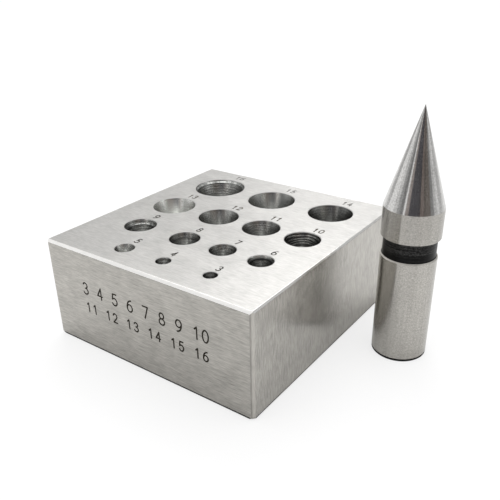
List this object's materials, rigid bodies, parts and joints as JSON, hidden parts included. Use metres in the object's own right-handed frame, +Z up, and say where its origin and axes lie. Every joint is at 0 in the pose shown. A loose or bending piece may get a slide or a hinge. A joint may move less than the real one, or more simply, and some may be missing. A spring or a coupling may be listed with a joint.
{
  "type": "bezel block",
  "caption": "Square steel block with graded tapered seats for shaping round settings, and a loose cone-nosed punch standing beside it.",
  "frame": {"origin": "centre of the block's bottom face, on the surface that the block and the punch stand on", "axes": "+X to the right along the block's marked front face, towards the punch; +Y from the front face to the back; +Z up"},
  "size_m": [0.0932, 0.074, 0.0681],
  "materials": {
    "block_steel": "surface ground, fine straight lines",
    "punch_steel": "ground shank and collar, polished cone, groove left black"
  },
  "bodies": {
    "block": {"bezel_block": "block_steel"},
    "punch": {"punch": "punch_steel"}
  },
  "joints": [
    {"name": "punch_lift", "type": "slide", "parent": "block", "child": "punch", "axis": [0, 0, 1], "range_m": [0, 0.06]}
  ]
}
